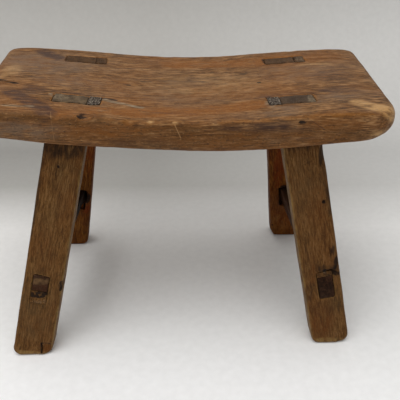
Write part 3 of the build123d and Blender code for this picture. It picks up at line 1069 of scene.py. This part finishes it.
def scratch_mask(tree, here, start, end, face, width):
    """One on the line of a scratch and nothing beside it."""
    start, run = Vector(start) * MM, Vector(end) * MM - Vector(start) * MM
    offset = add_node(tree, "ShaderNodeVectorMath", {0: here, 1: start},
                      operation="SUBTRACT").outputs[0]
    along = add_node(tree, "ShaderNodeVectorMath", {0: offset, 1: run / run.length_squared},
                     operation="DOT_PRODUCT").outputs["Value"]
    share = add_node(tree, "ShaderNodeClamp", {"Value": along}).outputs[0]
    nearest = add_node(tree, "ShaderNodeVectorMath", {0: run, "Scale": share},
                       operation="SCALE").outputs[0]
    apart = add_node(tree, "ShaderNodeVectorMath", {0: offset, 1: nearest},
                     operation="SUBTRACT").outputs[0]
    flat = add_node(tree, "ShaderNodeVectorMath", {0: apart, 1: face},
                    operation="MULTIPLY").outputs[0]
    distance = add_node(tree, "ShaderNodeVectorMath", {0: flat},
                        operation="LENGTH").outputs["Value"]
    return add_node(tree, "ShaderNodeMapRange", {
        "Value": distance, "From Min": width * MM, "From Max": 0}).outputs[0]


print(sum(len(scratches) for scratches in SCRATCHES.values()), "scratches")

# %% [markdown]
# ## Old oiled hardwood
#
# The stool was oiled and handled until it went deep brown, and it was never varnished. So it
# has a low, uneven sheen that is brightest where hands polish it. The colour is built up like
# a stain on a bench: the fibres, streaks and mottle pick a tone from dark to pale, then thin
# coats of other colours go over it one by one, each through its own mask. The legs are of
# darker wood than the seat. The rear ones are redder, and darker still as painted shade, since
# they stand in the shade under the seat, and the stretchers' near-black colours paint that
# shade too.

# %% Choose the colours
PALETTES = {
    # the seat's bare colour is pale enough to be the painted highlight on the polished front right
    # corner too
    "seat": {"deep": "3a230f", "middle": "5f3f1f", "light": "7b542f", "pale": "9f794f",
             "warm": "7f4a14", "grey": "6d5846", "stain": "35221e", "bare": "b68c57",
             "rim_wear_and_highlight": "865318", "oil": "4a2f0d"},
    "front_leg": {"deep": "3b2612", "middle": "573919", "light": "664522", "pale": "795833",
                  "warm": "5b3210", "grey": "554127", "stain": "22150c", "bare": "86693c",
                  "rim_wear_and_highlight": "77592f", "oil": "3a260e"},
    # redder wood, made darker still as painted shade under the seat
    "rear_leg": {"deep": "2f1604", "middle": "512c09", "light": "663b10", "pale": "7a4e1e",
                 "warm": "602204", "grey": "4d3820", "stain": "180c06", "bare": "80582c",
                 "rim_wear_and_highlight": "6b481f", "oil": "3a1f08"},
    # near black as painted shade: the stretchers lie in the shade under the seat
    "stretcher": {"deep": "1a0f0a", "middle": "2d1c13", "light": "3a261a", "pale": "4f3727",
                  "warm": "422618", "grey": "4f3f34", "stain": "110a07", "bare": "6f5438",
                  "rim_wear_and_highlight": "3f2a1c", "oil": "1c110a"},
}
DEPTHS = {"pore": "24170c", "soot_and_shade": "160e0a", "grime": "1c120b", "crumb_black": "1a1210",
          "crumb_grey": "4a3f36", "crumb_pale": "a09484", "ash_dark": "4a3a2c",
          "ash_pale": "a39277"}
TENON_TONES = {"front_left": "64523d", "front_right": "4c3c2e", "rear_left": "553c26",
               "rear_right": "563f2b"}
print(len(PALETTES), "palettes of", len(PALETTES["seat"]), "colours")

# %% Pick a tone and lay a coat
TONE_SHARES = {"fibres": 0.5, "streaks": 0.26, "mottle": 0.24}
TONE_STOPS = [(0.1, "deep"), (0.4, "middle"), (0.62, "light"), (0.9, "pale")]


def picked_tone(tree, values, colour):
    """The wood's own colour, from deep in its dark fibres to pale in its light ones."""
    tone = 0.0
    for name, share in TONE_SHARES.items():
        tone = add_node(tree, "ShaderNodeMath", {0: values[name], 1: share, 2: tone},
                        operation="MULTIPLY_ADD").outputs[0]
    ramp = add_node(tree, "ShaderNodeValToRGB", {"Fac": tone})
    set_stops(ramp, [(position, colour[part]) for position, part in TONE_STOPS])
    return ramp.outputs["Color"]


def coated(tree, wood, mask, share, colour):
    """The wood with one more thin coat of a colour through a mask."""
    thin = add_node(tree, "ShaderNodeMath", {0: mask, 1: share}, operation="MULTIPLY")
    return add_node(tree, "ShaderNodeMix", {0: thin.outputs[0], 6: wood, 7: colour},
                    data_type="RGBA").outputs[2]


# %% [markdown]
# ## Burnt, frayed and stained wood
#
# The wood isn't sound everywhere. The ends of the wedges have gone black and crumbly, with pale
# grit in them. Beside the tenons some fibres have lifted and dried to the colour of ash. And
# the tenons' own ends, which soak up dirt, are dull and stained. Each of these could be a
# material of its own, but then its rim would be a hard line, so each is one more coat.

# %% Mix the damaged wood
CRUMB_STOPS = [(0.35, "crumb_black"), (0.7, "crumb_grey"), (0.95, "crumb_pale")]
CRUMB_SHARE = 0.9
TORN_LOW = 0.5
ASH_SHARE = 0.95
TENON_FLOOR = 264 * MM
END_STAIN = 0.6
END_GRIT = 0.25


def crumbled(tree, wood, values, colour):
    """Burnt, crumbly wood: black, with pale grit in it."""
    ramp = add_node(tree, "ShaderNodeValToRGB", {"Fac": values["crumbs"]})
    set_stops(ramp, [(position, colour[part]) for position, part in CRUMB_STOPS])
    return coated(tree, wood, values["crumb"], CRUMB_SHARE, ramp.outputs["Color"])


def splintered(tree, wood, values, colour):
    """Dry, lifted fibres that have gone the colour of ash."""
    dry = coated(tree, colour["ash_dark"], values["fibres"], 1, colour["ash_pale"])
    torn = add_node(tree, "ShaderNodeMapRange", {"Value": values["streaks"], "To Min": TORN_LOW})
    frayed = add_node(tree, "ShaderNodeMath", {0: values["ash"], 1: torn.outputs[0]},
                      operation="MULTIPLY")
    return coated(tree, wood, frayed.outputs[0], ASH_SHARE, dry)


def tenon_ended(tree, wood, values, colour, height, tone):
    """The wood with a dull, stained end where the tenon comes out through the seat."""
    end = coated(tree, to_linear(tone), values["mottle"], END_STAIN, colour["stain"])
    end = coated(tree, end, values["flecks"], END_GRIT, colour["crumb_pale"])
    there = add_node(tree, "ShaderNodeMapRange", {
        "Value": height, "From Min": TENON_FLOOR, "From Max": TENON_FLOOR + MM})
    return coated(tree, wood, there.outputs[0], 1, end)


# %% [markdown]
# ## All the coats together
#
# The order of the coats follows the stool's own story. Oil and fading came first, then wear to
# bare wood, then stains and scratches, and the dirt in the joints lies on top of everything.

# %% Lay every coat
# the rubbed edges take the rim colour: edge wear, and a painted highlight along the arrises
COATS = [("patches", 0.35, "warm"), ("faded", 0.25, "grey"), ("rubbed", 0.55, "rim_wear_and_highlight"),
         ("oil", 0.65, "oil"), ("warm", 0.65, "warm"), ("grey", 0.65, "grey"),
         ("bare", 0.85, "bare"), ("flecks", 0.3, "bare"), ("pores", 0.5, "pore"),
         # the soot coat is soot, and also painted shade at the left stretcher's rear joint
         ("dark", 0.75, "stain"), ("soot_and_shade", 0.9, "soot_and_shade")]
SCRATCH_SHARE = 0.7
HOLLOW_SHARE = 0.6
GRIME_SHARE = 0.95


def wood_colour(tree, node, here, values, colour, tenon_tone):
    """The colour of one piece, from its own wood to the dirt that lies on top."""
    wood = picked_tone(tree, values, colour)
    for mask, share, part in COATS:
        wood = coated(tree, wood, values[mask], share, colour[part])
    for start, end, face, width, part in SCRATCHES.get(node, []):
        line = scratch_mask(tree, here, start, end, face, width)
        wood = coated(tree, wood, line, SCRATCH_SHARE, colour[part])
    if tenon_tone:
        height = add_node(tree, "ShaderNodeSeparateXYZ", {0: here}).outputs["Z"]
        wood = tenon_ended(tree, wood, values, colour, height, tenon_tone)
    wood = splintered(tree, wood, values, colour)
    wood = crumbled(tree, wood, values, colour)
    wood = coated(tree, wood, values["hollow"], HOLLOW_SHARE, colour["grime"])
    flaked = add_node(tree, "ShaderNodeMath", {0: values["grime"], 1: values["crumbs"]},
                      operation="MULTIPLY")
    return coated(tree, wood, flaked.outputs[0], GRIME_SHARE, colour["grime"])


print(len(COATS), "coats over the bare tone")

# %% [markdown]
# ## Sheen and relief
#
# Oil soaks in, so the wood is dull with a soft sheen where hands have rubbed it bare. The seat
# shines most and the stretchers, which nobody touches, least. Old fibres stand up a little and
# the pores are sunk, far finer than the mesh can hold, so a bump made from the same patterns
# carries them, and light and colour agree.

# %% Finish the wood
SHEEN = {"seat": 0.2, "front_leg": 0.08, "rear_leg": 0.06, "stretcher": 0.03}
ROUGHEST = 0.64
SMOOTHEST = 0.34
MOTTLE_POLISH = 0.4
FULL_POLISH = 1.2
FIBRE_RELIEF = 0.4
BUMP_STRENGTH = 0.5
BUMP_DEPTH = 0.35 * MM


def wood_roughness(tree, values):
    """Uneven, and smoothest where the wood is rubbed bare."""
    polish = add_node(tree, "ShaderNodeMath", {
        0: values["mottle"], 1: MOTTLE_POLISH, 2: values["bare"]}, operation="MULTIPLY_ADD")
    return add_node(tree, "ShaderNodeMapRange", {
        "Value": polish.outputs[0], "From Max": FULL_POLISH, "To Min": ROUGHEST,
        "To Max": SMOOTHEST}).outputs[0]


def wood_relief(tree, values):
    """Raised fibres and streaks, with the pores sunk between them."""
    raised = add_node(tree, "ShaderNodeMath", {
        0: values["fibres"], 1: FIBRE_RELIEF, 2: values["streaks"]}, operation="MULTIPLY_ADD")
    sunk = add_node(tree, "ShaderNodeMath", {0: raised.outputs[0], 1: values["pores"]},
                    operation="SUBTRACT")
    return add_node(tree, "ShaderNodeBump", {
        "Height": sunk.outputs[0], "Strength": BUMP_STRENGTH,
        "Distance": BUMP_DEPTH}).outputs["Normal"]


def aged_wood(node, direction, seed, palette, tenon_tone):
    """Old oiled hardwood with its grain along a direction, and the marks of one piece."""
    material = bpy.data.materials.new(node + "_oiled_hardwood")
    material.use_nodes = True
    tree = material.node_tree
    shader = tree.nodes["Principled BSDF"]
    colour = {part: to_linear(tone) for part, tone in {**PALETTES[palette], **DEPTHS}.items()}
    here = add_node(tree, "ShaderNodeTexCoord").outputs["Object"]
    place = add_node(tree, "ShaderNodeVectorMath", {
        0: here, 1: (seed * SEED_STRIDE, 0, 0)}, operation="ADD").outputs[0]
    values = wood_patterns(tree, place, direction, FINENESS[palette])
    values.update(wear_masks(tree, values["blotches"]))
    tree.links.new(wood_colour(tree, node, here, values, colour, tenon_tone),
                   shader.inputs["Base Color"])
    tree.links.new(wood_roughness(tree, values), shader.inputs["Roughness"])
    tree.links.new(wood_relief(tree, values), shader.inputs["Normal"])
    shader.inputs["Specular IOR Level"].default_value = SHEEN[palette]
    return material


# %% [markdown]
# ## Dress the stool
#
# Now every piece is made by the same function, from the seat, whose squares may be coarser, to
# the pegs, whose squares must be fine. Each new piece rides on the body and stands for its
# solid. The sizes below are in millimetres, and wear is the share of the blur that an edge may
# take.

# %% Plan every kind of piece
PIECES = {
    "seat_plank": {"slot": "seat_wood", "palette": "seat", "voxel": 1.5, "wave": 0.7,
                   "ripple": 0.3, "wear": 0.8},
    "leg": {"slot": "leg_wood", "palette": "front_leg", "voxel": 1.0, "wave": 0.8,
            "ripple": 0.3, "wear": 0.9},
    "stretcher": {"slot": "stretcher_wood", "palette": "stretcher", "voxel": 0.9, "wave": 0.6,
                  "ripple": 0.3, "wear": 0.7},
    "wedge": {"slot": "wedge_wood", "palette": "front_leg", "voxel": 0.4, "wave": 0.5,
              "ripple": 0.5, "wear": 0.6},
    "peg": {"slot": "peg_wood", "palette": "front_leg", "voxel": 0.4, "wave": 0.2,
            "ripple": 0.2, "wear": 0.6},
}


def kind_of(node):
    """Which row of the table a solid belongs to."""
    for kind in PIECES:
        if node.endswith(kind):
            return kind
    raise ValueError(node)


def grain_of(node):
    """A piece's own grain, or that of the leg or stretcher that it is driven into."""
    if node in grain:
        return grain[node]
    if node.endswith("_peg"):
        return Vector((1, 0, 0))
    if node.endswith("_stretcher_wedge"):
        return grain[node.split("_")[1] + "_stretcher"]
    return grain[node.replace("_leg_wedge", "_leg")]


print(len(PIECES), "kinds of piece")

# %% Make every piece
for seed, node in enumerate(sorted(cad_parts)):
    plan = PIECES[kind_of(node)]
    direction = grain_of(node)
    palette = "rear_leg" if node.startswith("rear") else plan["palette"]
    corner = "_".join(node.split("_")[:2])
    tenon_tone = TENON_TONES[corner] if node.endswith(("_leg", "_leg_wedge")) else None
    finish = aged_wood(node, direction, seed, palette, tenon_tone)
    piece = worn_piece(node, direction, seed, plan, finish)
    paint_joints(piece, node)
    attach(piece, "root")
    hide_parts(node)
print(len(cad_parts), "pieces of wood make up the stool")
